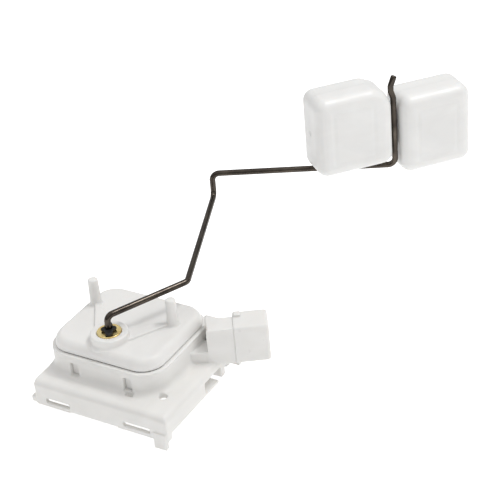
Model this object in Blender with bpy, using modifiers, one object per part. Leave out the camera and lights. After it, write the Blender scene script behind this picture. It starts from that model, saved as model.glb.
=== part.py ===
"""Tank level sender: closed plastic housing, swinging wire arm and two-block float.

The origin lies on the arm's pivot axis, level with the foot under the base.
+Z runs up the pivot axis, +X along the base's front edge, +Y to its back.
"""
import math

import bmesh
import bpy
from mathutils import Matrix, Vector

MM = 0.001
GAP = 0.3 * MM                       # play between pieces that touch

# Base plate, skirt and rails
PLATE_X = (-25.1 * MM, 34.6 * MM)
PLATE_Y = (-18.8 * MM, 36.5 * MM)
PLATE_TOP = 14.4 * MM
PLATE_THICK = 2.0 * MM
PLATE_EDGE = 2.4 * MM                # rounding of the plate's upper edge
PLATE_CORNER = 1.5 * MM
SKIRT_WALL = 1.8 * MM
SKIRT_BOTTOM = 3.4 * MM
RAIL_LIP = 4.0 * MM
RAIL_THICK = 1.8 * MM
PLATE_HOLE = (26.4 * MM, -7.1 * MM, 1.55 * MM)
LEDGE_Y = (9.0 * MM, 18.6 * MM)      # springy ledge in the right skirt
LEDGE_INNER = 29.0 * MM
LEDGE_TOP_Z = 6.9 * MM
LEG_Y = (20.7 * MM, 23.4 * MM)       # leg behind the ledge
LEG_INNER = 30.3 * MM

# Tub and cover
TUB_CENTRE = (0.0, 12.2 * MM)
TUB_SIZE = (51.2 * MM, 45.2 * MM)
TUB_CORNER = 10.4 * MM
TUB_WALL = 2.0 * MM
TUB_TOP = 23.7 * MM
COVER_INSET = 1.0 * MM               # how far the cover's edge stands inside the tub's
COVER_TOP = 28.6 * MM
COVER_CROWN = 3.3 * MM
COVER_WALL = 1.8 * MM
PLUG_INSET = 3.6 * MM                # the cover's inner skirt, from the tub's outside
PLUG_WALL = 1.2 * MM
PLUG_DEPTH = 3.0 * MM
WINDOW_SIZE = (3.6 * MM, 5.6 * MM)
WINDOW_BOTTOM = 15.0 * MM
WINDOW_FRONT_X = (-11.0 * MM, 13.2 * MM)
WINDOW_BACK_X = (-13.0 * MM, 13.0 * MM)

# Pivot
BOSS_RADIUS = 7.4 * MM
BOSS_TOP = 32.1 * MM
RIB_TOP = 29.7 * MM
RIB_ENDS = (6.0 * MM, 0.4 * MM)       # half-widths at the boss and at the post
BUSH_FLANGE = (4.7 * MM, 0.7 * MM)   # radius and thickness
BUSH_BARREL = (3.4 * MM, 7.2 * MM)   # radius and length
FLANGE_TOP = 32.4 * MM
TUBE_WALL = 1.6 * MM                 # tube inside the cover that holds the barrel
WIRE_RADIUS = 1.25 * MM
WIRE_BORE = WIRE_RADIUS + GAP
STOP_RADIUS = 2.1 * MM
STOP_TOP = 40.0 * MM
STOPS = ((-19.0 * MM, 18.2 * MM), (17.0 * MM, 17.8 * MM))

# Wire arm, from the bush to the float
ARM_BOTTOM = 18.0 * MM
ARM_LOW = 38.9 * MM                  # height of the two legs over the housing
ARM_HIGH = 49.2 * MM                 # height of the leg that reaches the float
LEG_1 = (36.0 * MM, 64.4)            # length and heading of each leg, in degrees
LEG_2 = (67.5 * MM, 112.0)
LEG_3 = (76.8 * MM, 27.3)
FLOAT_LEG_TOP = 89.4 * MM
KINK = ((9.4, -0.1), (6.4, -1.1), (4.2, -1.1), (0.0, 0.6))  # drop from the tip and shift, mm
BEND = 3.2 * MM
FIRST_BEND = 2.4 * MM
BEND_STEPS = 5

# Float blocks, seen along the float's own long direction
FLOAT_HEADING = 49.6
LEFT_SIZE = (33.3 * MM, 19.6 * MM, 34.5 * MM)
RIGHT_SIZE = (31.3 * MM, 19.6 * MM, 34.5 * MM)
FLOAT_ROUND = 4.8 * MM
FLOAT_WALL = 1.8 * MM
FLOAT_FRONT = -5.0 * MM              # front faces, from the wire's axis
LEFT_START = -35.05 * MM
LEFT_BOTTOM = 52.1 * MM
RIGHT_START = 1.92 * MM
RIGHT_BOTTOM = 45.2 * MM
KINK_ROOM = 2.5 * MM                 # radius kept clear round the kink
KINK_BOTTOM = 79.8 * MM

# Connector, whose axis leaves the housing at an angle
CONNECTOR_HEADING = 33.2
NECK_ACROSS = (-2.3 * MM, 6.5 * MM)
NECK_HEIGHT = (13.1 * MM, 28.9 * MM)
NECK_END = 46.6 * MM
NECK_BACK = 42.6 * MM                # where the hollow behind the terminals starts
NECK_FACE_X = 31.3 * MM              # the neck's near end, level with the housing's side
LEDGE_TOP = 19.3 * MM
COLLAR_ALONG = (46.9 * MM, 60.0 * MM)
COLLAR_ACROSS = (-2.6 * MM, 9.3 * MM)
COLLAR_HEIGHT = (12.9 * MM, 29.4 * MM)
COLLAR_WALL = 1.7 * MM
BLADE_HEIGHTS = (17.2 * MM, 21.2 * MM, 25.2 * MM)
BLADE_SIZE = (10.8 * MM, 0.8 * MM, 2.8 * MM)
BLADE_START = 44.0 * MM
BLADE_ACROSS = 2.1 * MM
LEAD_START = 22.0 * MM
LEAD_THICK = 0.5 * MM

# Resistor card and wiper
CARD_X = (-18.5 * MM, 18.5 * MM)
CARD_Y = (4.5 * MM, 21.5 * MM)
CARD_BOTTOM = PLATE_TOP + GAP
CARD_THICK = 0.7 * MM
TRACK_RADII = (13.0 * MM, 17.0 * MM)
TRACK_WIDTH = 1.6 * MM
TRACK_ANGLES = (48.0, 135.0)
TRACK_THICK = 0.2 * MM
ROTOR_HEIGHT = (18.6 * MM, 22.5 * MM)


def clear_scene():
    for old in list(bpy.data.objects):
        bpy.data.objects.remove(old, do_unlink=True)


clear_scene()
PARTS = bpy.data.collections.new("tank_level_sender")
CUTTERS = bpy.data.collections.new("cutters")
for group in (PARTS, CUTTERS):
    bpy.context.scene.collection.children.link(group)


# ---------------------------------------------------------------- materials

def material(name, color, roughness, metallic=0.0):
    made = bpy.data.materials.new(name)
    made.use_nodes = True
    shader = made.node_tree.nodes["Principled BSDF"]
    shader.inputs["Base Color"].default_value = (*color, 1.0)
    shader.inputs["Roughness"].default_value = roughness
    shader.inputs["Metallic"].default_value = metallic
    return made


# ---------------------------------------------------------------- outlines

def polar(radius, degrees, centre=(0.0, 0.0)):
    turn = math.radians(degrees)
    return (centre[0] + radius * math.cos(turn), centre[1] + radius * math.sin(turn))


def arc(centre, radius, start, end, steps):
    return [polar(radius, start + (end - start) * i / steps, centre) for i in range(steps + 1)]


def circle(radius, centre=(0.0, 0.0), steps=28):
    return arc(centre, radius, 0.0, 360.0, steps)[:-1]


def rectangle(x, y):
    return [(x[0], y[0]), (x[1], y[0]), (x[1], y[1]), (x[0], y[1])]


def rounded(x, y, radius, steps=5):
    """A rectangle with its four corners rounded."""
    corners = ((x[1], y[0], -90), (x[1], y[1], 0), (x[0], y[1], 90), (x[0], y[0], 180))
    outline = []
    for corner_x, corner_y, start in corners:
        centre = (corner_x - math.copysign(radius, corner_x - (x[0] + x[1]) / 2),
                  corner_y - math.copysign(radius, corner_y - (y[0] + y[1]) / 2))
        outline += arc(centre, radius, start, start + 90, steps)
    return outline


def tub_outline(inset):
    """The tub's rounded square, moved inwards by inset."""
    half = [side / 2 - inset for side in TUB_SIZE]
    x = (TUB_CENTRE[0] - half[0], TUB_CENTRE[0] + half[0])
    y = (TUB_CENTRE[1] - half[1], TUB_CENTRE[1] + half[1])
    return rounded(x, y, max(TUB_CORNER - inset, 1.0 * MM))


def taper(radius_a, centre_b, radius_b, steps=10):
    """Outline round a circle at the origin and a smaller one at centre_b."""
    reach = math.hypot(*centre_b)
    heading = math.degrees(math.atan2(centre_b[1], centre_b[0]))
    tangent = math.degrees(math.acos((radius_a - radius_b) / reach))
    far = arc(centre_b, radius_b, heading - tangent, heading + tangent, steps)
    near = arc((0.0, 0.0), radius_a, heading + tangent, heading + 360 - tangent, 2 * steps)
    return far + near


def sector(radius, width, angles, steps=20):
    outer = arc((0.0, 0.0), radius + width / 2, angles[0], angles[1], steps)
    inner = arc((0.0, 0.0), radius - width / 2, angles[1], angles[0], steps)
    return outer + inner


def lobed(steps=48):
    """Four lobes, two of them longer, round the wire."""
    outline = []
    for i in range(steps):
        turn = 360.0 * i / steps
        reach = 3.0 + 0.7 * math.cos(math.radians(4 * (turn - 35)))
        reach += 0.7 * math.cos(math.radians(2 * (turn - 125)))
        outline.append(polar(reach * MM, turn))
    return outline


def connector_point(along, across):
    """A point in plan, from distances along and across the connector's axis."""
    turn = math.radians(CONNECTOR_HEADING)
    return (along * math.cos(turn) - across * math.sin(turn),
            along * math.sin(turn) + across * math.cos(turn))


def connector_box(along, across):
    return [connector_point(*corner) for corner in rectangle(along, across)]


# ---------------------------------------------------------------- solids

def link(name, mesh, group):
    made = bpy.data.objects.new(name, mesh)
    group.objects.link(made)
    if group is CUTTERS:
        made.hide_render = True
        made.display_type = "WIRE"
    return made


def mesh_of(curve_object):
    """Mesh of a curve object, welded, with the curve removed."""
    bpy.context.view_layer.update()
    depsgraph = bpy.context.evaluated_depsgraph_get()
    mesh = bpy.data.meshes.new_from_object(curve_object.evaluated_get(depsgraph))
    work = bmesh.new()
    work.from_mesh(mesh)
    work.transform(curve_object.matrix_world)
    bmesh.ops.remove_doubles(work, verts=work.verts, dist=0.00001)
    bmesh.ops.recalc_face_normals(work, faces=work.faces)
    work.to_mesh(mesh)
    work.free()
    bpy.data.objects.remove(curve_object, do_unlink=True)
    return mesh


def round_rim(mesh, height, radius, steps):
    """Round every edge that lies level at the given height."""
    work = bmesh.new()
    work.from_mesh(mesh)
    rim = [edge for edge in work.edges
           if all(abs(v.co.z - height) < 0.01 * MM for v in edge.verts)
           and len(edge.link_faces) == 2 and edge.calc_face_angle(0.0) > 0.5]
    bmesh.ops.bevel(work, geom=rim, offset=radius, segments=steps, profile=0.5,
                    affect="EDGES", clamp_overlap=True)
    work.to_mesh(mesh)
    work.free()


def slab(name, outlines, bottom, top, group=PARTS, top_round=0.0, bottom_round=0.0, steps=3):
    """Upright solid between two heights; outlines after the first one are holes."""
    curve = bpy.data.curves.new(name, "CURVE")
    curve.dimensions = "2D"
    curve.fill_mode = "BOTH"
    curve.extrude = (top - bottom) / 2
    for outline in outlines:
        spline = curve.splines.new("POLY")
        spline.points.add(len(outline) - 1)
        for point, (x, y) in zip(spline.points, outline):
            point.co = (x, y, 0.0, 1.0)
        spline.use_cyclic_u = True
    flat = bpy.data.objects.new(name, curve)
    flat.location.z = (top + bottom) / 2
    bpy.context.scene.collection.objects.link(flat)
    mesh = mesh_of(flat)
    if top_round:
        round_rim(mesh, top, top_round, steps)
    if bottom_round:
        round_rim(mesh, bottom, bottom_round, steps)
    mesh.name = name
    return link(name, mesh, group)


def block(name, x, y, z, group=CUTTERS):
    return slab(name, [rectangle(x, y)], z[0], z[1], group)


def boolean(target, others, operation):
    """Join or cut a piece with all the given solids at once."""
    group = bpy.data.collections.new(f"{target.name}_{operation.lower()}")
    CUTTERS.children.link(group)
    for other in others:
        CUTTERS.objects.unlink(other)
        group.objects.link(other)
    step = target.modifiers.new(operation.lower(), "BOOLEAN")
    step.operation = operation
    step.solver = "EXACT"
    step.operand_type = "COLLECTION"
    step.collection = group


def join(target, others):
    boolean(target, others, "UNION")


def cut(target, others):
    boolean(target, others, "DIFFERENCE")


def turned(name, profile, group=PARTS, steps=32):
    """Solid of revolution round +Z: the profile runs down its outer side."""
    mesh = bpy.data.meshes.new(name)
    count = len(profile)
    mesh.from_pydata([(radius, 0.0, height) for radius, height in profile],
                     [(i, (i + 1) % count) for i in range(count)], [])
    made = link(name, mesh, group)
    screw = made.modifiers.new("turn", "SCREW")
    screw.axis = "Z"
    screw.steps = steps
    screw.render_steps = steps
    screw.use_merge_vertices = True
    screw.merge_threshold = 0.00001
    return made


def ring(inner, outer, bottom, top):
    """Profile of a plain ring, down the outside and back up the bore."""
    return [(inner, top), (outer, top), (outer, bottom), (inner, bottom)]


def finish(made, look, parent=None, smooth=True):
    """Give a piece its material, smooth its round sides and hang it on its axis."""
    made.data.materials.clear()
    made.data.materials.append(look)
    if smooth and made.data.polygons:
        made.data.shade_smooth()
        made.data.set_sharp_from_angle(angle=math.radians(35))
    if parent:
        made.parent = parent
        made.matrix_parent_inverse = parent.matrix_world.inverted()
    return made


def axis_empty(name, place):
    made = bpy.data.objects.new(name, None)
    made.location = place
    made.empty_display_size = 0.02
    PARTS.objects.link(made)
    bpy.context.view_layer.update()
    return made


# ---------------------------------------------------------------- housing

def shell_solids():
    """The tub on the base plate, and the hollows inside both."""
    inner_x = (PLATE_X[0] + SKIRT_WALL, PLATE_X[1] - SKIRT_WALL)
    inner_y = (PLATE_Y[0] + SKIRT_WALL, PLATE_Y[1] - SKIRT_WALL)
    tub = slab("tub", [tub_outline(0.0)], PLATE_TOP - 1.0 * MM, TUB_TOP, CUTTERS)
    hollows = [slab("tub_inside", [tub_outline(TUB_WALL)], PLATE_TOP - 0.05 * MM,
                    TUB_TOP + 5 * MM, CUTTERS),
               slab("underside", [underside_outline(inner_x, inner_y)],
                    SKIRT_BOTTOM + RAIL_THICK, PLATE_TOP - PLATE_THICK, CUTTERS)]
    mouth_x = (inner_x[0] + RAIL_LIP, inner_x[1] + 0.05 * MM)
    mouth_y = (inner_y[0] + RAIL_LIP, inner_y[1] - RAIL_LIP)
    hollows.append(block("rail_mouth", mouth_x, mouth_y,
                         (-1 * MM, SKIRT_BOTTOM + RAIL_THICK + 0.1 * MM)))
    return [tub], hollows


def underside_outline(inner_x, inner_y):
    """The hollow under the plate, which leaves the side ledge and the leg standing."""
    outline = rounded(inner_x, inner_y, 1.5 * MM)
    right = inner_x[1]
    notches = []
    for inner, (start, end) in ((LEDGE_INNER, LEDGE_Y), (LEG_INNER, LEG_Y)):
        notches += [(right, start), (inner, start), (inner, end), (right, end)]
    split = len(outline) // 4
    return outline[:split] + notches + outline[split:]


def rail_solids():
    """A side flange, two feet that carry the rails, and the plate's square left edge."""
    solids = [block("side_flange", (PLATE_X[0] - 2.8 * MM, PLATE_X[0] + 1.0 * MM),
                    (PLATE_Y[0] + 0.4 * MM, PLATE_Y[1] - 2.0 * MM), (3.7 * MM, 6.4 * MM)),
              block("left_edge", (PLATE_X[0] + 0.05 * MM, PLATE_X[0] + 4.0 * MM),
                    (PLATE_Y[0] + 2.0 * MM, PLATE_Y[1] - 2.0 * MM),
                    (PLATE_TOP - 3.0 * MM, PLATE_TOP - 0.04 * MM))]
    for name, x, y in (("foot_front", (28.6, 34.0), (PLATE_Y[0] - 0.5 * MM, PLATE_Y[0] + 1.6 * MM)),
                       ("foot_back", (20.0, 25.4), (PLATE_Y[1] - 1.6 * MM, PLATE_Y[1] + 0.5 * MM))):
        solids.append(block(name, (x[0] * MM, x[1] * MM), y, (0.0, 7.0 * MM)))
    return solids


def side_latch_cutters():
    """Opens the right skirt over a springy ledge, and on both sides of a leg behind it."""
    right = PLATE_X[1]
    outer = right + 1 * MM
    roof = PLATE_TOP - PLATE_EDGE - 0.2 * MM
    return [block("skirt_relief", (right - 4 * MM, outer), (-15.5 * MM, LEDGE_Y[1] + 0.1 * MM),
                  (-2 * MM, 5.9 * MM)),
            block("ledge_opening", (LEDGE_INNER - 0.1 * MM, outer),
                  (LEDGE_Y[0] - 0.1 * MM, LEDGE_Y[1] + 0.1 * MM), (LEDGE_TOP_Z, roof)),
            block("leg_slit", (LEDGE_INNER - 0.2 * MM, outer), (LEDGE_Y[1], LEG_Y[0]),
                  (-2 * MM, roof - 0.1 * MM)),
            block("leg_relief", (right - 4.5 * MM, outer), (LEG_Y[0] - 0.1 * MM, LEG_Y[1] + 0.1 * MM),
                  (-2 * MM, 6.6 * MM)),
            block("back_relief", (right - 4 * MM, outer), (LEG_Y[1], 33.6 * MM),
                  (-2 * MM, 11.0 * MM))]


def connector_neck_solids():
    """Neck for the connector, its ledge to the tub and the wall behind it."""
    low_across = (NECK_ACROSS[0] + 0.15 * MM, NECK_ACROSS[1] - 0.15 * MM)
    low = connector_box((27.0 * MM, NECK_END - 0.15 * MM), low_across)
    ends = [connector_point(NECK_END, across) for across in NECK_ACROSS]
    rise = math.tan(math.radians(CONNECTOR_HEADING))
    starts = [(NECK_FACE_X, y + (NECK_FACE_X - x) * rise) for x, y in ends]
    tall = [starts[0], ends[0], ends[1], starts[1]]
    wall_y = (26.9 * MM, 28.4 * MM)
    solids = [slab("neck_low", [low], NECK_HEIGHT[0], LEDGE_TOP, CUTTERS),
              slab("neck_tall", [tall], NECK_HEIGHT[0] + 0.4 * MM, NECK_HEIGHT[1], CUTTERS,
                   top_round=0.9 * MM, steps=2),
              block("neck_wall", (24.3 * MM, NECK_FACE_X + 1.5 * MM), wall_y,
                    (PLATE_TOP - 1.2 * MM, TUB_TOP - 0.2 * MM)),
              block("neck_wall_top", (25.2 * MM, NECK_FACE_X + 1.2 * MM),
                    (wall_y[0] + 0.1 * MM, wall_y[1] - 0.1 * MM),
                    (TUB_TOP - 1 * MM, NECK_HEIGHT[1] - 0.3 * MM)),
              slab("neck_roof", [[(25.35 * MM, 25.5 * MM), (NECK_FACE_X + 0.6 * MM, 18.2 * MM),
                                  (NECK_FACE_X + 0.6 * MM, 28.2 * MM), (25.35 * MM, 28.2 * MM)]],
                   NECK_HEIGHT[1] - 2.3 * MM, NECK_HEIGHT[1] - 0.12 * MM, CUTTERS)]
    hollow = [across + push for across, push in zip(NECK_ACROSS, (1.6 * MM, -1.6 * MM))]
    duct = [across + push for across, push in zip(hollow, (0.2 * MM, -0.2 * MM))]
    relief = connector_box((COLLAR_ALONG[0] - GAP / 2, COLLAR_ALONG[1]),
                           (COLLAR_ACROSS[0] - GAP, COLLAR_ACROSS[1] + GAP))
    cutters = [slab("collar_relief", [relief], COLLAR_HEIGHT[0] - GAP, COLLAR_HEIGHT[1] + GAP,
                    CUTTERS),
               slab("neck_hollow", [connector_box((NECK_BACK, NECK_END + 2 * MM), hollow)],
                    NECK_HEIGHT[0] + 1.6 * MM, NECK_HEIGHT[1] - 1.6 * MM, CUTTERS),
               slab("lead_duct", [connector_box((LEAD_START, NECK_BACK + 1 * MM), duct)],
                    PLATE_TOP + 0.2 * MM, LEDGE_TOP - 1.6 * MM, CUTTERS)]
    return solids, cutters


def housing_openings():
    """Snap windows in the tub, slots in the front skirt and holes in the plate."""
    tub_front = TUB_CENTRE[1] - TUB_SIZE[1] / 2
    tub_back = TUB_CENTRE[1] + TUB_SIZE[1] / 2
    cutters = []
    for places, wall, side in ((WINDOW_FRONT_X, tub_front, "front"),
                               (WINDOW_BACK_X, tub_back, "back")):
        for x in places:
            cutters.append(block(f"window_{side}", (x - WINDOW_SIZE[0] / 2, x + WINDOW_SIZE[0] / 2),
                                 (wall - 3 * MM, wall + 3 * MM),
                                 (WINDOW_BOTTOM, WINDOW_BOTTOM + WINDOW_SIZE[1])))
    x = WINDOW_FRONT_X[1]
    cutters.append(block("mould_hole", (x - 0.5 * MM, x + 2.8 * MM),
                         (tub_front - 1.8 * MM, tub_front - 0.1 * MM),
                         (11 * MM, PLATE_TOP + 1 * MM)))
    for reach in ((-20.5, -9.5), (15.0, 27.0)):
        cutters.append(block("rail_slot", (reach[0] * MM, reach[1] * MM),
                             (PLATE_Y[0] - 1 * MM, PLATE_Y[0] + 3 * MM), (5.4 * MM, 7.4 * MM)))
        cutters.append(block("lip_gap", (max(reach[0] - 3.5, -23.0) * MM, reach[1] * MM),
                             (PLATE_Y[0] + SKIRT_WALL + 0.1 * MM, -12.5 * MM),
                             (-1 * MM, SKIRT_BOTTOM + RAIL_THICK + 0.1 * MM)))
    hole_x, hole_y, hole_radius = PLATE_HOLE
    cutters.append(slab("plate_hole", [circle(hole_radius, (hole_x, hole_y), 16)], 11 * MM,
                        PLATE_TOP + 1 * MM, CUTTERS))
    return cutters


def make_base_housing(look):
    """Base plate with its skirt, tub, rails, latch and connector neck."""
    housing = slab("base_housing", [rounded(PLATE_X, PLATE_Y, PLATE_CORNER)], SKIRT_BOTTOM, PLATE_TOP,
                   top_round=PLATE_EDGE)
    tub, hollows = shell_solids()
    neck, neck_cutters = connector_neck_solids()
    join(housing, tub + rail_solids() + neck)
    cut(housing, hollows + side_latch_cutters() + neck_cutters + housing_openings())
    finish(housing, look)


def make_cover(look):
    """Crowned lid with its plug, snap hooks, pivot boss, stop posts and ribs."""
    rim = TUB_TOP + GAP
    cover = slab("cover", [tub_outline(COVER_INSET)], rim, COVER_TOP, top_round=COVER_CROWN,
                 steps=4)
    solids = [slab("cover_plug", [tub_outline(PLUG_INSET)], TUB_TOP - PLUG_DEPTH, rim + 1 * MM,
                   CUTTERS),
              slab("cover_boss", [circle(BOSS_RADIUS)], COVER_TOP - 0.9 * MM, BOSS_TOP, CUTTERS,
                   top_round=0.4 * MM, steps=2)]
    for post in STOPS:
        solids.append(slab("cover_rib", [taper(RIB_ENDS[0], post, RIB_ENDS[1])],
                           COVER_TOP - 0.7 * MM, RIB_TOP, CUTTERS))
        solids.append(slab("cover_stop", [circle(STOP_RADIUS + 0.05 * MM, post, 20)],
                           COVER_TOP - 0.8 * MM, STOP_TOP, CUTTERS, top_round=0.5 * MM, steps=2))
    tub_front = TUB_CENTRE[1] - TUB_SIZE[1] / 2
    tub_back = TUB_CENTRE[1] + TUB_SIZE[1] / 2
    for places, wall, into in ((WINDOW_FRONT_X, tub_front, 1), (WINDOW_BACK_X, tub_back, -1)):
        for x in places:
            solids += snap_hook_solids(x, wall, into)
    join(cover, solids)
    tube = circle(BUSH_BARREL[0] + TUBE_WALL, steps=24)
    roof = COVER_TOP - COVER_WALL
    cut(cover, [slab("cover_hollow", [tub_outline(PLUG_INSET + PLUG_WALL), tube], 20.0 * MM, roof,
                     CUTTERS),
                slab("tube_end", [circle(BUSH_BARREL[0] + TUBE_WALL + GAP, steps=24)], 20.0 * MM,
                     TUB_TOP + 1.3 * MM, CUTTERS),
                slab("bush_bore", [circle(BUSH_BARREL[0] + GAP, steps=24)], 22.0 * MM,
                     BOSS_TOP + 1 * MM, CUTTERS),
                slab("flange_seat", [circle(BUSH_FLANGE[0] + GAP)],
                     FLANGE_TOP - BUSH_FLANGE[1] - GAP, BOSS_TOP + 1 * MM, CUTTERS)])
    finish(cover, look)


def snap_hook_solids(x, wall, into):
    """Tongue inside the tub's wall, with a barb that catches in a window."""
    reach = (x - 1.4 * MM, x + 1.4 * MM)
    tongue = sorted((wall + into * (PLUG_INSET - 0.1 * MM), wall + into * (PLUG_INSET + 1.1 * MM)))
    barb = sorted((wall + into * 0.8 * MM, wall + into * (PLUG_INSET + 0.4 * MM)))
    top = WINDOW_BOTTOM + WINDOW_SIZE[1]
    inside_reach = (reach[0] + 0.1 * MM, reach[1] - 0.1 * MM)
    return [block("hook_tongue", reach, tongue, (17.0 * MM, TUB_TOP - 2.0 * MM)),
            block("hook_barb", inside_reach, barb, (top - 2.4 * MM, top - 0.6 * MM))]


def make_cover_seal(look):
    seal = slab("cover_seal", [tub_outline(TUB_WALL + GAP), tub_outline(PLUG_INSET - GAP)],
                TUB_TOP - 1.2 * MM, TUB_TOP)
    finish(seal, look)


def make_pivot_bush(look):
    flange_radius, flange_thick = BUSH_FLANGE
    barrel_radius, barrel_length = BUSH_BARREL
    under = FLANGE_TOP - flange_thick
    bottom = under - barrel_length
    profile = [(WIRE_BORE, FLANGE_TOP), (flange_radius, FLANGE_TOP), (flange_radius, under),
               (barrel_radius, under), (barrel_radius, bottom), (WIRE_BORE, bottom)]
    finish(turned("pivot_bush", profile), look)


def make_connector(collar_look, carrier_look, blade_look):
    """Collar round the mouth, the insulator in it and its three blades."""
    inner = [across + push for across, push in zip(COLLAR_ACROSS, (COLLAR_WALL, -COLLAR_WALL))]
    low, high = COLLAR_HEIGHT
    collar = slab("connector_collar", [connector_box(COLLAR_ALONG, COLLAR_ACROSS)], low, high,
                  top_round=1.4 * MM, bottom_round=1.4 * MM)
    through = (COLLAR_ALONG[0] - 2 * MM, COLLAR_ALONG[1] + 2 * MM)
    key = connector_box((COLLAR_ALONG[0] + 0.1 * MM, COLLAR_ALONG[0] + 2.7 * MM),
                        (4.6 * MM, 7.4 * MM))
    join(collar, [slab("collar_key", [key], high - 1 * MM, high + 1.2 * MM, CUTTERS)])
    cut(collar, [slab("collar_mouth", [connector_box(through, inner)], low + COLLAR_WALL,
                      high - COLLAR_WALL, CUTTERS)])
    finish(collar, collar_look)

    shank = (NECK_ACROSS[0] + 1.6 * MM + GAP, NECK_ACROSS[1] - 1.6 * MM - GAP)
    carrier = slab("terminal_carrier", [connector_box((44.6 * MM, 48.0 * MM), shank)],
                   NECK_HEIGHT[0] + 1.6 * MM + GAP, NECK_HEIGHT[1] - 1.6 * MM - GAP)
    flange = connector_box((COLLAR_ALONG[0] + GAP, 49.2 * MM), (inner[0] + GAP, inner[1] - GAP))
    join(carrier, [slab("carrier_flange", [flange], low + COLLAR_WALL + GAP,
                        high - COLLAR_WALL - GAP, CUTTERS)])
    length, thick, width = BLADE_SIZE
    across = (BLADE_ACROSS - thick / 2, BLADE_ACROSS + thick / 2)
    blade = connector_box((BLADE_START, BLADE_START + length), across)
    slit = connector_box((NECK_BACK, 52.0 * MM), (across[0] - GAP, across[1] + GAP))
    slits = []
    for number, height in enumerate(BLADE_HEIGHTS, 1):
        slits.append(slab("blade_slit", [slit], height - width / 2 - GAP,
                          height + width / 2 + GAP, CUTTERS))
        finish(slab(f"terminal_{number}", [blade], height - width / 2, height + width / 2),
               blade_look)
    cut(carrier, slits)
    finish(carrier, carrier_look)


def make_resistor_card(card_look, track_look, lead_look):
    top = CARD_BOTTOM + CARD_THICK
    finish(slab("resistor_card", [rectangle(CARD_X, CARD_Y)], CARD_BOTTOM, top), card_look)
    for name, radius in zip(("collector_track", "resistor_track"), TRACK_RADII):
        track = slab(name, [sector(radius, TRACK_WIDTH, TRACK_ANGLES)], top + GAP,
                     top + GAP + TRACK_THICK)
        finish(track, track_look)
    for number, height in enumerate(BLADE_HEIGHTS, 1):
        make_lead(number, height, lead_look)


def make_lead(number, height, look):
    """Strip from the card through the duct, turned up to the end of its own blade."""
    across = BLADE_ACROSS + (0.0, -1.6 * MM, 1.6 * MM)[number - 1]
    lane = (across - 0.5 * MM, across + 0.5 * MM)
    end = BLADE_START - GAP
    bottom = CARD_BOTTOM + CARD_THICK + GAP
    lead = slab(f"lead_{number}", [connector_box((LEAD_START, end), lane)], bottom,
                bottom + LEAD_THICK)
    if number > 1:
        turned_up = (end - LEAD_THICK, end)
        reach = (min(lane[0], BLADE_ACROSS - 0.4 * MM), max(lane[1], BLADE_ACROSS + 0.4 * MM))
        rise = slab("lead_rise", [connector_box(turned_up, lane)], bottom, height, CUTTERS)
        tab = slab("lead_tab", [connector_box(turned_up, reach)], height - 0.8 * MM, height,
                   CUTTERS)
        join(lead, [rise, tab])
    finish(lead, look)


# ---------------------------------------------------------------- arm

def ahead(start, leg, height):
    """The point that a level leg of the wire reaches from start."""
    length, heading = leg
    x, y = polar(length, heading, start)
    return Vector((x, y, height))


def arm_corners():
    """The wire's corners, from its lower end in the rotor to its tip at the float."""
    first = ahead((0.0, 0.0), LEG_1, ARM_LOW)
    second = ahead(first, LEG_2, ARM_LOW)
    raised = Vector((second.x, second.y, ARM_HIGH))
    float_foot = ahead(raised, LEG_3, ARM_HIGH)
    corners = [(Vector((0, 0, ARM_BOTTOM)), 0), (Vector((0, 0, ARM_LOW)), FIRST_BEND), (first, BEND),
               (second, BEND), (raised, BEND), (float_foot, BEND)]
    side = Vector((*polar(1.0, FLOAT_HEADING), 0.0))
    for drop, shift in KINK:
        place = Vector((float_foot.x, float_foot.y, FLOAT_LEG_TOP - drop * MM))
        corners.append((place + side * shift * MM, 1.6 * MM if drop else 0))
    return corners


def bent_path(corners):
    """Points along straight runs, with an arc of the given radius at each corner."""
    path = [corners[0][0]]
    for (before, _), (corner, radius), (after, _) in zip(corners, corners[1:], corners[2:]):
        back = (before - corner).normalized()
        on = (after - corner).normalized()
        half = back.angle(on) / 2
        setback = radius / math.tan(half)
        centre = corner + (back + on).normalized() * (radius / math.sin(half))
        start = corner + back * setback - centre
        turn = math.pi - 2 * half
        steps = max(2, round(BEND_STEPS * turn / (math.pi / 2)))
        axis = back.cross(start).normalized()
        path += [centre + Matrix.Rotation(turn * i / steps, 3, axis) @ start
                 for i in range(steps + 1)]
    return path + [corners[-1][0]]


def make_float_arm(look, axis):
    curve = bpy.data.curves.new("float_arm", "CURVE")
    curve.dimensions = "3D"
    curve.bevel_depth = WIRE_RADIUS
    curve.bevel_resolution = 2
    curve.use_fill_caps = True
    path = bent_path(arm_corners())
    spline = curve.splines.new("POLY")
    spline.points.add(len(path) - 1)
    for point, place in zip(spline.points, path):
        point.co = (*place, 1.0)
    wire = bpy.data.objects.new("float_arm_curve", curve)
    bpy.context.scene.collection.objects.link(wire)
    finish(link("float_arm", mesh_of(wire), PARTS), look, axis)


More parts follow.
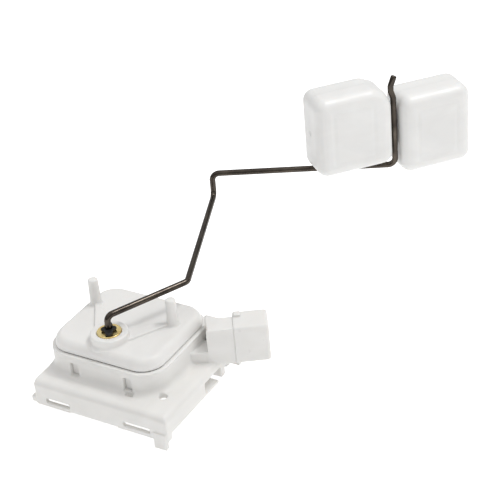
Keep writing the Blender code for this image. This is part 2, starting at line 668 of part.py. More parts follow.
def make_arm_fittings(looks, axis):
    """Retainer over the bush, and the washer, rotor and wiper under it."""
    bore = circle(WIRE_BORE, steps=20)
    retainer = slab("arm_retainer", [lobed(), bore], FLANGE_TOP + GAP, FLANGE_TOP + 1.4 * MM,
                    top_round=0.4 * MM, steps=2)
    finish(retainer, looks["retainer"], axis)
    bush_bottom = FLANGE_TOP - BUSH_FLANGE[1] - BUSH_BARREL[1]
    washer = turned("thrust_washer", ring(WIRE_BORE, 3.9 * MM, bush_bottom - 0.9 * MM,
                                          bush_bottom - GAP))
    finish(washer, looks["washer"], axis)
    heading = LEG_1[1]
    rotor = slab("wiper_rotor", [taper(4.4 * MM, polar(11.0 * MM, heading), 2.6 * MM), bore],
                 *ROTOR_HEIGHT)
    finish(rotor, looks["rotor"], axis)
    leaf_top = ROTOR_HEIGHT[0] - GAP
    leaf = slab("wiper_spring", [[polar(5.0 * MM, heading - 22), polar(18.2 * MM, heading - 5),
                                  polar(18.2 * MM, heading + 5), polar(5.0 * MM, heading + 22)]],
                leaf_top - 0.4 * MM, leaf_top)
    finish(leaf, looks["spring"], axis)
    track_top = CARD_BOTTOM + CARD_THICK + GAP + TRACK_THICK
    for name, radius in zip(("wiper_contact_inner", "wiper_contact_outer"), TRACK_RADII):
        button = slab(name, [circle(0.9 * MM, polar(radius, heading), 14)], track_top + GAP,
                      leaf_top - 0.4 * MM - GAP)
        finish(button, looks["contact"], axis)


# ---------------------------------------------------------------- float

def float_half(name, size, start, bottom, front, look, place, axis):
    """Front or back shell of a float block: an open cup with a rounded outside."""
    width, depth, height = size
    bpy.ops.mesh.primitive_cube_add(size=1)
    half = bpy.context.object
    half.name = name
    half.data.name = name
    for group in half.users_collection:
        group.objects.unlink(half)
    PARTS.objects.link(half)
    work = bmesh.new()
    work.from_mesh(half.data)
    bmesh.ops.scale(work, vec=size, verts=work.verts)
    bmesh.ops.bevel(work, geom=work.edges[:], offset=FLOAT_ROUND, segments=4, profile=0.5,
                    affect="EDGES")
    side = 1 if front else -1
    bmesh.ops.bisect_plane(work, geom=work.verts[:] + work.edges[:] + work.faces[:],
                           plane_co=(0, -side * GAP / 2, 0), plane_no=(0, side, 0),
                           clear_outer=True)
    centre = (start + width / 2, FLOAT_FRONT + depth / 2, bottom + height / 2)
    bmesh.ops.translate(work, vec=centre, verts=work.verts)
    work.to_mesh(half.data)
    work.free()
    wall = half.modifiers.new("wall", "SOLIDIFY")
    wall.thickness = FLOAT_WALL
    wall.offset = -1
    finish(half, look)
    pockets = kink_pocket(bottom, height) if front and start < 0.0 else []
    if pockets:
        cut(half, pockets)
    for made in [half] + pockets:
        made.location = place
        made.rotation_euler.z = math.radians(FLOAT_HEADING)
    bpy.context.view_layer.update()
    half.parent = axis
    half.matrix_parent_inverse = axis.matrix_world.inverted()


def kink_pocket(bottom, height):
    """Round pocket in the left block's side that lets the kink in the wire swing past."""
    room = slab("kink_room", [circle(KINK_ROOM, steps=24)], KINK_BOTTOM, bottom + height + 1 * MM,
                CUTTERS)
    return [room]


def make_float(looks, axis):
    foot = arm_corners()[5][0]
    place = Vector((foot.x, foot.y, 0.0))
    blocks = (("left", LEFT_SIZE, LEFT_START, LEFT_BOTTOM),
              ("right", RIGHT_SIZE, RIGHT_START, RIGHT_BOTTOM))
    for side, size, start, bottom in blocks:
        for part, front in (("front", True), ("back", False)):
            float_half(f"float_{side}_{part}", size, start, bottom, front, looks["float"], place,
                       axis)
    make_float_bridge(looks["float"], place, axis)


def make_float_bridge(look, place, axis):
    """Web between the blocks, behind the wire."""
    x = (LEFT_START + LEFT_SIZE[0] + GAP, RIGHT_START - GAP)
    y = (1.9 * MM, 4.4 * MM)
    bridge = slab("float_bridge", [rectangle(x, y)], LEFT_BOTTOM + 6.0 * MM,
                  RIGHT_BOTTOM + RIGHT_SIZE[2] - 6.0 * MM)
    finish(bridge, look)
    bridge.location = place
    bridge.rotation_euler.z = math.radians(FLOAT_HEADING)
    bpy.context.view_layer.update()
    bridge.parent = axis
    bridge.matrix_parent_inverse = axis.matrix_world.inverted()


# ---------------------------------------------------------------- assembly

def main():
    white = (0.80, 0.79, 0.76)
    make_base_housing(material("housing_white", white, 0.42))
    make_cover(material("cover_white", white, 0.38))
    make_cover_seal(material("seal_rubber", (0.02, 0.02, 0.02), 0.8))
    make_pivot_bush(material("bush_brass", (0.78, 0.52, 0.14), 0.28, 1.0))
    make_connector(material("collar_white", white, 0.40),
                   material("carrier_white", (0.72, 0.71, 0.68), 0.5),
                   material("blade_tin", (0.72, 0.72, 0.70), 0.3, 1.0))
    make_resistor_card(material("card_ceramic", (0.75, 0.74, 0.68), 0.6),
                       material("track_ink", (0.03, 0.03, 0.03), 0.5),
                       material("lead_tin", (0.70, 0.70, 0.68), 0.35, 1.0))

    arm_axis = axis_empty("arm_axis", (0.0, 0.0, ARM_LOW))
    make_float_arm(material("wire_steel", (0.30, 0.26, 0.22), 0.25, 1.0), arm_axis)
    arm_looks = {"retainer": material("retainer_black", (0.015, 0.015, 0.015), 0.4),
                 "washer": material("washer_steel", (0.55, 0.55, 0.55), 0.35, 1.0),
                 "rotor": material("rotor_plastic", (0.10, 0.10, 0.10), 0.5),
                 "spring": material("spring_bronze", (0.70, 0.48, 0.25), 0.3, 1.0),
                 "contact": material("contact_silver", (0.75, 0.75, 0.75), 0.25, 1.0)}
    make_arm_fittings(arm_looks, arm_axis)

    foot = arm_corners()[5][0]
    float_axis = axis_empty("float_axis", foot)
    float_axis.parent = arm_axis
    float_axis.matrix_parent_inverse = arm_axis.matrix_world.inverted()
    bpy.context.view_layer.update()
    make_float({"float": material("float_white", (0.84, 0.84, 0.82), 0.35)}, float_axis)


main()
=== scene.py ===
"""Looks of the tank level sender: moulded white plastic, brass bush, bent steel wire and float.

Lengths are in millimetres until a mesh is made. The origin lies on the arm's pivot axis.
"""
import math

import bmesh
import bpy
from mathutils import Matrix, Vector


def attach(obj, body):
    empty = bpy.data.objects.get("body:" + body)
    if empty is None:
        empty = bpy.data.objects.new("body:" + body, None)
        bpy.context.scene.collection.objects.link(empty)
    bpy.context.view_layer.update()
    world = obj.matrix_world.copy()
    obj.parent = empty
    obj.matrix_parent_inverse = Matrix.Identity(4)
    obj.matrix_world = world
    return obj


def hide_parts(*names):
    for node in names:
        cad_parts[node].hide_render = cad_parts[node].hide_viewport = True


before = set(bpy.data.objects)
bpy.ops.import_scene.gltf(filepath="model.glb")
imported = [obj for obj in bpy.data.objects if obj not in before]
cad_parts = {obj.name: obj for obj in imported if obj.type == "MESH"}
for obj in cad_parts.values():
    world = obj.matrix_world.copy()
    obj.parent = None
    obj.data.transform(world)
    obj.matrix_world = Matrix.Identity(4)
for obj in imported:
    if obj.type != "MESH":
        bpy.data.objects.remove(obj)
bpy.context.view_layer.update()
MM = 0.001
VOXEL = 0.26  # grain of the moulded pieces' mesh

# Base plate and skirt
PLATE_X = (-25.5, 34.6)
PLATE_Y = (-18.8, 36.5)
PLATE_TOP = 14.4
PLATE_UNDER = 12.4
PLATE_EDGE = 2.5         # rounding of the plate's upper edge
PLATE_CORNER = 0.7
SKIRT_WALL = 1.8
SKIRT_BOTTOM = 3.4
RAIL_LIP = 4.0
RAIL_TOP = 5.2
LEDGE_Y = (9.0, 18.6)    # springy ledge in the right skirt
LEDGE_INNER = 29.0
SIDE_LEDGE_TOP = 6.9
LEG_Y = (20.7, 23.4)     # leg behind the ledge
LEG_INNER = 30.3
SLOTS = ((-20.5, -9.5), (15.0, 27.0))
SLOT_Z = (5.4, 7.4)
PLATE_HOLE = (26.4, -7.1)
FOOT_HEIGHT = 7.0

# Tub and cover
TUB_CENTRE = (0.0, 12.2)
TUB_HALF = (25.6, 22.6)
TUB_CORNER = 10.4
TUB_WALL = 2.0
TUB_TOP = 23.7
COVER_RIM = 23.85
COVER_INSET = 1.4        # how far the lid's edge stands inside the tub's
COVER_CROWN = 3.1
COVER_TOP = 28.6
PLUG_INSET = 3.6         # the lid's inner skirt, from the tub's outside
TONGUE_INSET = (3.5, 4.7)
BARB_INSET = (1.3, 4.0)
WINDOW_HALF = 1.8
WINDOW_Z = (15.0, 20.6)
WINDOW_FRONT_X = (-11.0, 13.2)
WINDOW_BACK_X = (-13.0, 13.0)
TUB_FRONT = TUB_CENTRE[1] - TUB_HALF[1]
TUB_BACK = TUB_CENTRE[1] + TUB_HALF[1]

# Pivot
BOSS_RADIUS = 7.4
BOSS_TOP = 32.1
RIB_TOP = 29.7
RIB_ENDS = (6.0, 0.4)    # half-widths at the boss and at the post
FLANGE_RADIUS = 4.7
FLANGE_TOP = 32.4
BARREL_RADIUS = 3.4
BARREL_LENGTH = 7.9      # with the flange
WIRE_BORE = 1.55
STOP_RADIUS = 2.05
STOP_TOP = 40.0
STOPS = ((-19.0, 18.2), (17.0, 17.8))
WIRE_RADIUS = 1.25

# Wire arm: length and heading of each level leg, in degrees
ARM_BOTTOM = 18.0
ARM_LOW = 38.9
ARM_HIGH = 49.2
LEG_1 = (36.0, 64.4)
LEG_2 = (67.5, 112.0)
LEG_3 = (76.8, 27.3)
FLOAT_LEG_TOP = 89.3
KINK = ((9.4, -0.1), (6.4, -1.1), (4.2, -1.1), (0.0, 0.6))  # drop from the tip and shift
KINK_BEND = 1.6
BEND = 3.2
FIRST_BEND = 2.4
FOOT_CORNER = 5          # the wire's corner at the foot of the float's leg

# Float, seen along its own long direction
FLOAT_HEADING = 49.6
LEFT_SIZE = Vector((33.27, 19.57, 34.5))
RIGHT_SIZE = Vector((31.27, 19.57, 34.5))
FLOAT_ROUND = 4.8
CORNER_ROUND = 9.5       # the left block's upper inner corner
FLOAT_FRONT = -5.0
LEFT_BLOCK = (-35.05, 52.1)   # start and bottom of each block
RIGHT_BLOCK = (1.92, 45.2)
LEFT_PANEL_SHIFT = 1.0
WELD_GAP = 0.03          # from the weld's plane to each shell
BRIDGE_Y = (1.9, 4.4)
BRIDGE_END = 6.0         # from the blocks' ends to the web's
KINK_ROOM = 2.5          # radius of the pocket round the kink
KINK_BOTTOM = 79.8
FLAT_Z = (82.6, 86.0)    # stretch of the kink that is pressed flat
FLAT_SIDE = Vector((math.cos(math.radians(FLOAT_HEADING - 90.0)),
                    math.sin(math.radians(FLOAT_HEADING - 90.0)), 0.0))

# Connector
CONNECTOR_HEADING = 33.2
NECK_ACROSS = (-2.3, 6.5)
NECK_HEIGHT = (13.1, 28.9)
NECK_END = 46.6
NECK_BACK = 42.6
NECK_FACE_X = 31.3
LEDGE_TOP = 19.3
COLLAR_ALONG = (46.9, 60.0)
COLLAR_ACROSS = (-2.6, 9.3)
COLLAR_HEIGHT = (12.9, 29.4)
COLLAR_WALL = 1.7
COLLAR_CORNER = 1.1
BLADE_HEIGHTS = (17.2, 21.2, 25.2)
BLADE_ALONG = (44.0, 54.8)
BLADE_ACROSS = 2.1
BLADE_HALF = (0.4, 1.4)  # half the thickness and half the width

# Camera and light
CAMERA_PLACE = (292.7, -358.5, 340.2)
CAMERA_TURN = (58.687, 4.540, 29.572)
CAMERA_LENS = 105.8
DOME_HORIZON = 0.14
DOME_ZENITH = 1.02
FLOOR_GLOW = 0.42
FLOOR_GLOW_SEEN = 0.72
LIGHTS = {"top_light": ((0.36, 0.30, 0.88), (0.30, 0.20), 2.6),
          "side_light": ((0.85, 0.15, 0.45), (0.25, 0.5), 0.2)}  # place, size and power
LIT_POINT = (0.02, 0.05, 0.03)
MIX_FACTOR, MIX_A, MIX_B = 0, 2, 3       # number sockets of a Mix node


# ---------------------------------------------------------------- outlines

def polar(radius, degrees, centre=(0.0, 0.0)):
    turn = math.radians(degrees)
    return (centre[0] + radius * math.cos(turn), centre[1] + radius * math.sin(turn))


def arc(centre, radius, start, end, steps):
    return [polar(radius, start + (end - start) * i / steps, centre) for i in range(steps + 1)]


def circle(radius, centre=(0.0, 0.0), steps=64):
    return arc(centre, radius, 0.0, 360.0, steps)[:-1]


def rectangle(x, y):
    return [(x[0], y[0]), (x[1], y[0]), (x[1], y[1]), (x[0], y[1])]


def rounded(x, y, radius, steps=14):
    """A rectangle with its four corners rounded, and no two points in one place."""
    mid_x = (x[0] + x[1]) / 2
    mid_y = (y[0] + y[1]) / 2
    outline = []
    for corner_x, corner_y, start in ((x[1], y[0], -90), (x[1], y[1], 0), (x[0], y[1], 90),
                                      (x[0], y[0], 180)):
        centre = (corner_x - math.copysign(radius, corner_x - mid_x),
                  corner_y - math.copysign(radius, corner_y - mid_y))
        outline += arc(centre, radius, start, start + 90, steps)
    return outline


def tub_outline(inset):
    """The tub's rounded square, moved inwards by inset or outwards where it is negative."""
    x = (TUB_CENTRE[0] - TUB_HALF[0] + inset, TUB_CENTRE[0] + TUB_HALF[0] - inset)
    y = (TUB_CENTRE[1] - TUB_HALF[1] + inset, TUB_CENTRE[1] + TUB_HALF[1] - inset)
    return rounded(x, y, TUB_CORNER - inset)


def taper(radius_a, centre_b, radius_b, steps=16):
    """Outline round a circle at the origin and a smaller one at centre_b."""
    reach = math.hypot(*centre_b)
    heading = math.degrees(math.atan2(centre_b[1], centre_b[0]))
    tangent = math.degrees(math.acos((radius_a - radius_b) / reach))
    far = arc(centre_b, radius_b, heading - tangent, heading + tangent, steps)
    near = arc((0.0, 0.0), radius_a, heading + tangent, heading + 360 - tangent, 2 * steps)
    return far + near


def connector_point(along, across):
    turn = math.radians(CONNECTOR_HEADING)
    return (along * math.cos(turn) - across * math.sin(turn),
            along * math.sin(turn) + across * math.cos(turn))


def connector_outline(along, across):
    return [connector_point(*corner) for corner in rectangle(along, across)]


# ---------------------------------------------------------------- solids

def new_object(name, mesh):
    made = bpy.data.objects.new(name, mesh)
    bpy.context.scene.collection.objects.link(made)
    return made


def from_work(name, work):
    mesh = bpy.data.meshes.new(name)
    bmesh.ops.recalc_face_normals(work, faces=work.faces)
    work.to_mesh(mesh)
    work.free()
    return new_object(name, mesh)


def loft(name, rings):
    """Closed solid through level outlines: each ring is (outline, height)."""
    work = bmesh.new()
    loops = [[work.verts.new((x * MM, y * MM, height * MM)) for x, y in outline]
             for outline, height in rings]
    for low, high in zip(loops, loops[1:]):
        for i in range(len(low)):
            j = (i + 1) % len(low)
            work.faces.new((low[i], low[j], high[j], high[i]))
    work.faces.new(loops[0][::-1])
    work.faces.new(loops[-1])
    return from_work(name, work)


def prism(name, outline, bottom, top):
    return loft(name, [(outline, bottom), (outline, top)])


def block(name, x, y, z):
    return prism(name, rectangle(x, y), *z)


def turned(name, profile, centre=(0.0, 0.0), steps=64):
    """Solid of revolution: the profile is (radius, height), from the bottom up."""
    return loft(name, [(circle(radius, centre, steps), height) for radius, height in profile])


def quarter(radius, start, end, steps=8):
    """Sine and cosine times radius, between two angles."""
    for i in range(steps + 1):
        turn = math.radians(start + (end - start) * i / steps)
        yield radius * math.cos(turn), radius * math.sin(turn)


def combine(target, others, operation):
    group = bpy.data.collections.new(f"{target.name}_{operation.lower()}")
    for other in others:
        group.objects.link(other)
    step = target.modifiers.new(operation.lower(), "BOOLEAN")
    step.operation = operation
    step.solver = "EXACT"
    step.operand_type = "COLLECTION"
    step.collection = group


def baked(name, target, used):
    """A new object with the target's finished mesh; the solids that made it are removed."""
    bpy.context.view_layer.update()
    depsgraph = bpy.context.evaluated_depsgraph_get()
    mesh = bpy.data.meshes.new_from_object(target.evaluated_get(depsgraph))
    for solid in used:
        bpy.data.objects.remove(solid, do_unlink=True)
    mesh.name = name
    mesh.materials.clear()
    return new_object(name, mesh)


def moulded(name, solids, cutters=(), voxel=1.0, soften=5):
    """One piece from solids and cutters, with the soft edges of a moulding."""
    target = solids[0]
    if len(solids) > 1:
        combine(target, solids[1:], "UNION")
    if cutters:
        combine(target, cutters, "DIFFERENCE")
    skin = target.modifiers.new("skin", "REMESH")
    skin.mode = "VOXEL"
    skin.voxel_size = VOXEL * voxel * MM
    skin.use_smooth_shade = True
    relax = target.modifiers.new("relax", "SMOOTH")
    relax.factor = 0.5
    relax.iterations = soften
    return baked(name, target, list(solids) + list(cutters))


def dress(piece, look, slot, body, *nodes):
    """Give a piece its material and tie it to its body and CAD nodes. The slot argument is not used.
    """
    piece.data.materials.append(look)
    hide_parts(*nodes)
    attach(piece, body)


# ---------------------------------------------------------------- materials

class Nodes:
    """Short names for the node calls that the materials share."""

    def __init__(self, name):
        self.material = bpy.data.materials.new(name)
        self.material.use_nodes = True
        self.tree = self.material.node_tree
        self.shader = self.tree.nodes["Principled BSDF"]
        self.place = self.add("ShaderNodeTexCoord").outputs["Object"]

    def add(self, kind):
        return self.tree.nodes.new(kind)

    def link(self, start, end):
        self.tree.links.new(start, end)

    def set(self, name, value):
        self.shader.inputs[name].default_value = value

    def noise(self, scale, detail=4.0, place=None, distortion=0.0):
        made = self.add("ShaderNodeTexNoise")
        made.inputs["Scale"].default_value = scale
        made.inputs["Detail"].default_value = detail
        made.inputs["Distortion"].default_value = distortion
        self.link(place or self.place, made.inputs["Vector"])
        return made.outputs["Fac"]

    def ramp(self, value, *stops):
        made = self.add("ShaderNodeValToRGB")
        elements = made.color_ramp.elements
        while len(elements) < len(stops):
            elements.new(0.5)
        for element, (position, color) in zip(elements, stops):
            element.position = position
            element.color = (*color, 1.0)
        self.link(value, made.inputs["Fac"])
        return made.outputs["Color"]

    def map(self, value, low, high, start=0.3, end=0.7):
        made = self.add("ShaderNodeMapRange")
        made.inputs["From Min"].default_value = start
        made.inputs["From Max"].default_value = end
        made.inputs["To Min"].default_value = low
        made.inputs["To Max"].default_value = high
        self.link(value, made.inputs["Value"])
        return made.outputs["Result"]

    def bump(self, height, strength, distance, under=None):
        made = self.add("ShaderNodeBump")
        made.inputs["Strength"].default_value = strength
        made.inputs["Distance"].default_value = distance
        self.link(height, made.inputs["Height"])
        if under:
            self.link(under, made.inputs["Normal"])
        return made.outputs["Normal"]

    def stretched(self, scale, coordinates=None):
        made = self.add("ShaderNodeMapping")
        made.inputs["Scale"].default_value = scale
        self.link(coordinates or self.place, made.inputs["Vector"])
        return made.outputs["Vector"]

    def wave(self, scale, kind="RINGS", place=None):
        made = self.add("ShaderNodeTexWave")
        made.wave_type = kind
        made.rings_direction = "Z"
        made.inputs["Scale"].default_value = scale
        made.inputs["Distortion"].default_value = 0.4
        self.link(place or self.place, made.inputs["Vector"])
        return made.outputs["Fac"]


def white_plastic(name, light, shade, gloss=(0.30, 0.44), grain=0.10):
    """Natural acetal: milky, faintly mottled, with flow lines and a fine eroded grain."""
    nodes = Nodes(name)
    flow = nodes.noise(70.0, 5.0, nodes.stretched((1.0, 0.45, 1.6)), 0.6)
    nodes.link(nodes.ramp(flow, (0.30, shade), (0.70, light)), nodes.shader.inputs["Base Color"])
    nodes.link(nodes.map(nodes.noise(220.0, 3.0), *gloss), nodes.shader.inputs["Roughness"])
    nodes.set("Subsurface Weight", 0.22)
    nodes.set("Subsurface Radius", (1.0, 0.9, 0.8))
    nodes.set("Subsurface Scale", 0.0016)
    ripple = nodes.bump(nodes.noise(55.0, 2.0), 0.10, 0.0012)
    fine = nodes.bump(nodes.noise(5200.0, 2.0), grain, 0.00005, ripple)
    nodes.link(fine, nodes.shader.inputs["Normal"])
    return nodes.material


def brass():
    """Turned brass: fine rings round the axis and slight tarnish."""
    nodes = Nodes("bush_brass")
    tarnish = nodes.noise(420.0, 5.0)
    nodes.link(nodes.ramp(tarnish, (0.28, (0.80, 0.54, 0.15)), (0.50, (1.0, 0.82, 0.40))),
               nodes.shader.inputs["Base Color"])
    nodes.link(nodes.map(tarnish, 0.34, 0.16), nodes.shader.inputs["Roughness"])
    nodes.set("Metallic", 1.0)
    nodes.link(nodes.bump(nodes.wave(1500.0), 0.25, 0.00004), nodes.shader.inputs["Normal"])
    return nodes.material


def wire_steel():
    """Dark bright-drawn wire, with draw lines along its length and heat-tinted patches."""
    nodes = Nodes("wire_steel")
    along = nodes.add("ShaderNodeUVMap")
    along.uv_map = "along"
    tint = nodes.noise(160.0, 4.0)
    nodes.link(nodes.ramp(tint, (0.30, (0.050, 0.042, 0.036)), (0.52, (0.085, 0.072, 0.060)),
                          (0.74, (0.13, 0.11, 0.09))), nodes.shader.inputs["Base Color"])
    lines = nodes.noise(1.0, 3.0, nodes.stretched((0.9, 5.0, 1.0), along.outputs["UV"]))
    nodes.link(nodes.map(lines, 0.14, 0.24), nodes.shader.inputs["Roughness"])
    nodes.set("Metallic", 1.0)
    nodes.link(nodes.bump(lines, 0.05, 0.00002), nodes.shader.inputs["Normal"])
    return nodes.material


def plain_metal(name, dark, light, rough):
    """Sheet or strip metal with rolling lines along X."""
    nodes = Nodes(name)
    lines = nodes.noise(900.0, 4.0, nodes.stretched((0.08, 1.0, 1.0)))
    nodes.link(nodes.ramp(lines, (0.30, dark), (0.70, light)), nodes.shader.inputs["Base Color"])
    nodes.link(nodes.map(lines, rough, rough + 0.15), nodes.shader.inputs["Roughness"])
    nodes.set("Metallic", 1.0)
    nodes.link(nodes.bump(lines, 0.2, 0.00004), nodes.shader.inputs["Normal"])
    return nodes.material


def dark_plastic(name, dark, light, rough=0.32):
    nodes = Nodes(name)
    mottle = nodes.noise(600.0, 5.0)
    nodes.link(nodes.ramp(mottle, (0.35, dark), (0.70, light)), nodes.shader.inputs["Base Color"])
    nodes.link(nodes.map(mottle, rough, rough + 0.2), nodes.shader.inputs["Roughness"])
    nodes.link(nodes.bump(nodes.noise(3800.0, 2.0), 0.3, 0.00005), nodes.shader.inputs["Normal"])
    return nodes.material


# ---------------------------------------------------------------- housing

def tub_solid():
    """The tub's outside: a fillet off the plate, a straight wall and a rim line."""
    fillet = 2.6
    rings = [(tub_outline(-fillet), PLATE_TOP - 1.0)]
    for x, z in quarter(fillet, 270, 180):
        rings.append((tub_outline(-(fillet + x)), PLATE_TOP + fillet + z))
    for inset, drop in ((0.0, 1.7), (0.0, 1.35), (0.22, 1.15), (0.22, 0.95), (0.0, 0.75),
                        (0.0, 0.0)):
        rings.append((tub_outline(inset), TUB_TOP - drop))
    return loft("tub", rings)


def plate_solid():
    """Base plate and skirt as one block, its upper edge rounded except on the left."""
    rings = [(rounded(PLATE_X, PLATE_Y, PLATE_CORNER), SKIRT_BOTTOM)]
    for x, z in quarter(PLATE_EDGE, 0, 90, 10):
        inset = PLATE_EDGE - x
        outline = rounded((PLATE_X[0] + 0.04 * inset, PLATE_X[1] - inset),
                          (PLATE_Y[0] + inset, PLATE_Y[1] - inset), PLATE_CORNER)
        rings.append((outline, PLATE_TOP - PLATE_EDGE + z))
    return loft("plate", rings)


def base_cutters():
    """Hollow under the plate, mouth between the rails, slots, slits, holes and ejector marks."""
    inner_x = (PLATE_X[0] + SKIRT_WALL, PLATE_X[1] - SKIRT_WALL)
    inner_y = (PLATE_Y[0] + SKIRT_WALL, PLATE_Y[1] - SKIRT_WALL)
    right = PLATE_X[1]
    front = PLATE_Y[0]
    roof = PLATE_TOP - PLATE_EDGE - 0.2
    cutters = [prism("underside", underside_outline(inner_x, inner_y), RAIL_TOP, PLATE_UNDER),
               block("rail_mouth", (inner_x[0] + RAIL_LIP, inner_x[1] + 0.05),
                     (inner_y[0] + RAIL_LIP, inner_y[1] - RAIL_LIP), (-1.0, RAIL_TOP + 0.1)),
               block("skirt_relief", (right - 4.0, right + 1.0), (-15.5, LEDGE_Y[1] + 0.1),
                     (-2.0, 5.9)),
               block("ledge_opening", (LEDGE_INNER - 0.1, right + 1.0),
                     (LEDGE_Y[0] - 0.1, LEDGE_Y[1] + 0.1), (SIDE_LEDGE_TOP, roof)),
               block("leg_slit", (LEDGE_INNER - 0.2, right + 1.0), (LEDGE_Y[1], LEG_Y[0]),
                     (-2.0, roof - 0.1)),
               block("leg_relief", (right - 4.5, right + 1.0), (LEG_Y[0] - 0.1, LEG_Y[1] + 0.1),
                     (-2.0, 6.6)),
               block("back_relief", (right - 4.0, right + 1.0), (LEG_Y[1], 33.6), (-2.0, 10.0)),
               block("skirt_step", (-9.6, 12.4), (front - 1.0, front + 0.35), (2.0, 4.6)),
               block("mould_hole", (WINDOW_FRONT_X[1] - 0.5, WINDOW_FRONT_X[1] + 2.8),
                     (TUB_FRONT - 1.8, TUB_FRONT - 0.1), (11.0, PLATE_TOP + 2.6)),
               turned("plate_hole", [(1.55, 11.0), (1.55, 14.0), (1.95, 15.0)], PLATE_HOLE, 32)]
    for start, end in SLOTS:
        cutters += [block("slot", (start, end), (front - 1.0, front + 3.0), SLOT_Z),
                    block("lip_gap", (max(start - 3.5, inner_x[0]), end),
                          (inner_y[0], inner_y[0] + RAIL_LIP + 0.1), (-1.0, RAIL_TOP + 0.1))]
    for x in (-14.0, 6.0, 26.0):
        for y in (-9.0, 10.0, 28.0):
            cutters.append(turned("ejector_mark", [(1.7, 12.0), (1.7, 12.62)], (x, y), 24))
    return cutters


def underside_outline(inner_x, inner_y):
    """The hollow under the plate, which leaves the side ledge and the leg standing."""
    outline = rounded(inner_x, inner_y, 1.5)
    notches = []
    for inner, (start, end) in ((LEDGE_INNER, LEDGE_Y), (LEG_INNER, LEG_Y)):
        notches += [(inner_x[1], start), (inner, start), (inner, end), (inner_x[1], end)]
    split = len(outline) // 4
    return outline[:split] + notches + outline[split:]


def tub_cutters():
    left = TUB_CENTRE[0] - TUB_HALF[0]
    cutters = [prism("tub_inside", tub_outline(TUB_WALL), PLATE_TOP - 0.05, TUB_TOP + 5.0),
               block("fillet_end", (left - 4.0, left), (TUB_FRONT - 4.0, TUB_BACK + 4.0),
                     (PLATE_TOP - 2.0, TUB_TOP + 1.0))]
    for places, wall in ((WINDOW_FRONT_X, TUB_FRONT), (WINDOW_BACK_X, TUB_BACK)):
        for x in places:
            cutters.append(block("window", (x - WINDOW_HALF, x + WINDOW_HALF),
                                 (wall - 3.0, wall + 3.0), WINDOW_Z))
    return cutters


def rail_solids():
    """Side flange and the two feet of the rails."""
    return [block("side_flange", (PLATE_X[0] - 2.3, PLATE_X[0] + 1.0),
                  (PLATE_Y[0] + 0.4, PLATE_Y[1] - 2.0), (3.7, 6.4)),
            block("foot", (28.6, 34.0), (PLATE_Y[0] - 0.5, PLATE_Y[0] + 1.6), (0.0, FOOT_HEIGHT)),
            block("foot", (20.0, 25.4), (PLATE_Y[1] - 1.6, PLATE_Y[1] + 0.5), (0.0, FOOT_HEIGHT))]


def neck_solids():
    """Neck, its low ledge, the wall behind them and the roof towards the tub."""
    low_across = (NECK_ACROSS[0] + 0.15, NECK_ACROSS[1] - 0.15)
    low = connector_outline((27.0, NECK_END - 0.15), low_across)
    ends = [connector_point(NECK_END, across) for across in NECK_ACROSS]
    rise = math.tan(math.radians(CONNECTOR_HEADING))
    starts = [(NECK_FACE_X, y + (NECK_FACE_X - x) * rise) for x, y in ends]
    tall = [starts[0], ends[0], ends[1], starts[1]]
    wall_y = (26.9, 28.4)
    return [prism("neck_low", low, NECK_HEIGHT[0], LEDGE_TOP),
            prism("neck_tall", tall, NECK_HEIGHT[0] + 0.4, NECK_HEIGHT[1]),
            block("neck_wall", (24.3, NECK_FACE_X + 1.5), wall_y,
                  (PLATE_TOP - 1.2, TUB_TOP - 0.2)),
            block("neck_wall_top", (25.2, NECK_FACE_X + 1.2), (wall_y[0] + 0.1, wall_y[1] - 0.1),
                  (TUB_TOP - 1.0, NECK_HEIGHT[1] - 0.15)),
            prism("neck_roof", [(26.0, 25.8), (NECK_FACE_X + 0.6, 18.2),
                                (NECK_FACE_X + 0.6, 28.2), (26.0, 28.2)],
                  NECK_HEIGHT[1] - 2.3, NECK_HEIGHT[1] - 0.05)]


def neck_cutters():
    hollow = (NECK_ACROSS[0] + 1.6, NECK_ACROSS[1] - 1.6)
    relief = connector_outline((COLLAR_ALONG[0] - 0.15, COLLAR_ALONG[1]),
                               (COLLAR_ACROSS[0] - 0.3, COLLAR_ACROSS[1] + 0.3))
    return [prism("collar_relief", relief, COLLAR_HEIGHT[0] - 0.3, COLLAR_HEIGHT[1] + 0.3),
            prism("neck_hollow", connector_outline((NECK_BACK, NECK_END + 2.0), hollow),
                  NECK_HEIGHT[0] + 1.6, NECK_HEIGHT[1] - 1.6),
            prism("lead_duct", connector_outline((22.0, NECK_BACK + 1.0),
                                                 (hollow[0] + 0.2, hollow[1] - 0.2)),
                  PLATE_TOP + 0.2, LEDGE_TOP - 1.6)]


def make_housing(look):
    solids = [plate_solid(), tub_solid()] + rail_solids() + neck_solids()
    cutters = base_cutters() + tub_cutters() + neck_cutters()
    shell = moulded("housing_shell", solids, cutters)
    dress(shell, look, "housing_plastic", "housing", "base_housing")


# ---------------------------------------------------------------- cover

def lid_solid():
    """Crowned lid: the edge turns over in a wide soft curve to a flat top."""
    lip = 0.4
    rings = [(tub_outline(COVER_INSET + 0.35), COVER_RIM),
             (tub_outline(COVER_INSET), COVER_RIM + 0.35)]
    for x, z in quarter(1.0, 6, 90, 12):
        rings.append((tub_outline(COVER_INSET + COVER_CROWN * (1 - x)),
                      COVER_RIM + lip + (COVER_TOP - COVER_RIM - lip) * z))
    return loft("lid", rings)


def boss_solid():
    """Pivot boss with a fillet at its foot and a rounded upper edge."""
    foot = 1.0
    edge = 0.6
    profile = [(BOSS_RADIUS + foot, COVER_TOP - 0.9)]
    for x, z in quarter(foot, 270, 180):
        profile.append((BOSS_RADIUS + foot + x, COVER_TOP + foot + z))
    for x, z in quarter(edge, 0, 90):
        profile.append((BOSS_RADIUS - edge + x, BOSS_TOP - edge + z))
    return turned("boss", profile)


